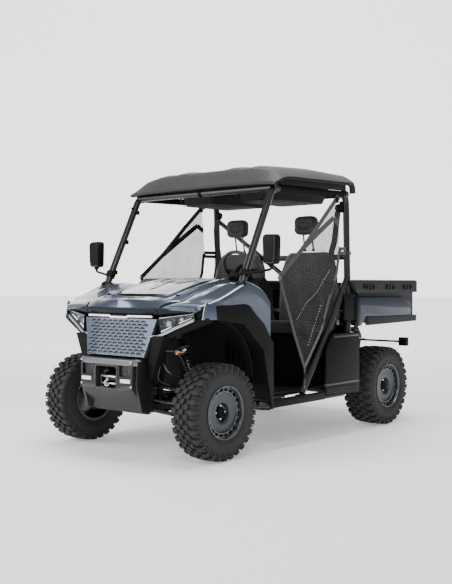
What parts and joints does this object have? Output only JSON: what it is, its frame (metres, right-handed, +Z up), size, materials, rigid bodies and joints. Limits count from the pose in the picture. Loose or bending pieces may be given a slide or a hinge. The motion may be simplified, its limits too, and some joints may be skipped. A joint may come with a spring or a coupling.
{
  "type": "side by side utility vehicle",
  "caption": "Open two-seat side by side utility vehicle with tube cage, hard roof, side nets, tilting cargo bed, tailgate and steered front wheels.",
  "frame": {"origin": "on the ground under the middle of the overall length, on the centreline", "axes": "+Z up, -Y towards the front, +X towards the vehicle's left"},
  "size_m": [1.79, 2.834, 1.9852],
  "materials": {
    "body_paint": "metallic gloss",
    "cage_paint": "satin",
    "black_plastic": "grained",
    "roof_plastic": "textured",
    "grille_plastic": "satin",
    "lamp_lens": "clear",
    "red_lens": "clear",
    "seat_cover": "woven vinyl",
    "net_mesh": "mesh",
    "engine_metal": "cast",
    "tyre_rubber": "matt",
    "rim_metal": "satin gunmetal"
  },
  "bodies": {
    "chassis": {"main_frame": "cage_paint", "skid_plate": "black_plastic", "floor_pan": "black_plastic", "seat_base": "black_plastic", "cage": "cage_paint", "roof": "roof_plastic", "roof_liner": "black_plastic", "fenders": "body_paint", "flares": "black_plastic", "headlights": "lamp_lens", "grille": "grille_plastic", "light_bar": "lamp_lens", "fascia": "black_plastic", "bumper": "cage_paint", "marker_lamps": "lamp_lens", "winch": "cage_paint", "dash": "black_plastic", "steering_column": "black_plastic", "seat_cushions": "seat_cover", "seat_backs": "seat_cover", "headrests": "seat_cover", "firewall": "black_plastic", "mirrors": "black_plastic", "side_panels": "black_plastic", "engine": "engine_metal", "driveline": "engine_metal", "muffler": "cage_paint", "hitch": "cage_paint", "taillights": "red_lens", "front_arms": "cage_paint", "front_shocks": "engine_metal", "rear_arms": "cage_paint", "rear_carriers": "cage_paint", "rear_shocks": "engine_metal", "steering_rack": "cage_paint", "bed_hinge": "cage_paint", "net_left": "net_mesh", "net_right": "net_mesh"},
    "hood": {"hood": "body_paint"},
    "knuckle_left": {"knuckle_left": "cage_paint"},
    "knuckle_right": {"knuckle_right": "cage_paint"},
    "tie_rods": {"tie_rods": "engine_metal"},
    "steering_wheel": {"steering_wheel": "black_plastic"},
    "bed": {"bed": "black_plastic", "bed_side_panels": "body_paint"},
    "tailgate": {"tailgate": "black_plastic"},
    "wheel_front_left": {"tyre_front_left": "tyre_rubber", "rim_front_left": "rim_metal"},
    "wheel_front_right": {"tyre_front_right": "tyre_rubber", "rim_front_right": "rim_metal"},
    "wheel_rear_left": {"tyre_rear_left": "tyre_rubber", "rim_rear_left": "rim_metal"},
    "wheel_rear_right": {"tyre_rear_right": "tyre_rubber", "rim_rear_right": "rim_metal"}
  },
  "joints": [
    {"name": "steer_left", "type": "hinge", "parent": "chassis", "child": "knuckle_left", "pos_m": [0.54, -1.045, 0.311], "axis": [0, 0, 1], "range_deg": [-28, 28]},
    {"name": "steer_right", "type": "hinge", "parent": "chassis", "child": "knuckle_right", "pos_m": [-0.54, -1.045, 0.311], "axis": [0, 0, 1], "range_deg": [-28, 28]},
    {"name": "rack_slide", "type": "slide", "parent": "chassis", "child": "tie_rods", "axis": [1, 0, 0], "range_m": [-0.048, 0.048]},
    {"name": "steering_wheel_turn", "type": "hinge", "parent": "chassis", "child": "steering_wheel", "pos_m": [0.35, -0.435, 1.215], "axis": [0, 0.788, 0.6157], "range_deg": [-270, 270]},
    {"name": "hood_open", "type": "hinge", "parent": "chassis", "child": "hood", "pos_m": [0, -0.575, 1.143], "axis": [1, 0, 0], "range_deg": [-50, 0]},
    {"name": "bed_tilt", "type": "hinge", "parent": "chassis", "child": "bed", "pos_m": [0, 1.29, 0.782], "axis": [1, 0, 0], "range_deg": [-40, 0]},
    {"name": "tailgate_drop", "type": "hinge", "parent": "bed", "child": "tailgate", "pos_m": [0, 1.4, 0.852], "axis": [1, 0, 0], "range_deg": [-90, 0]},
    {"name": "roll_front_left", "type": "hinge", "parent": "knuckle_left", "child": "wheel_front_left", "pos_m": [0.614, -1.045, 0.311], "axis": [1, 0, 0], "continuous": true},
    {"name": "roll_front_right", "type": "hinge", "parent": "knuckle_right", "child": "wheel_front_right", "pos_m": [-0.614, -1.045, 0.311], "axis": [1, 0, 0], "continuous": true},
    {"name": "roll_rear_left", "type": "hinge", "parent": "chassis", "child": "wheel_rear_left", "pos_m": [0.594, 0.94, 0.311], "axis": [1, 0, 0], "continuous": true},
    {"name": "roll_rear_right", "type": "hinge", "parent": "chassis", "child": "wheel_rear_right", "pos_m": [-0.594, 0.94, 0.311], "axis": [1, 0, 0], "continuous": true}
  ],
  "couplings": [
    {"joint": "steer_right", "follows": "steer_left", "ratio": 1},
    {"joint": "rack_slide", "follows": "steer_left", "m_per_rad": 0.098},
    {"joint": "steering_wheel_turn", "follows": "steer_left", "ratio": 9.6}
  ]
}
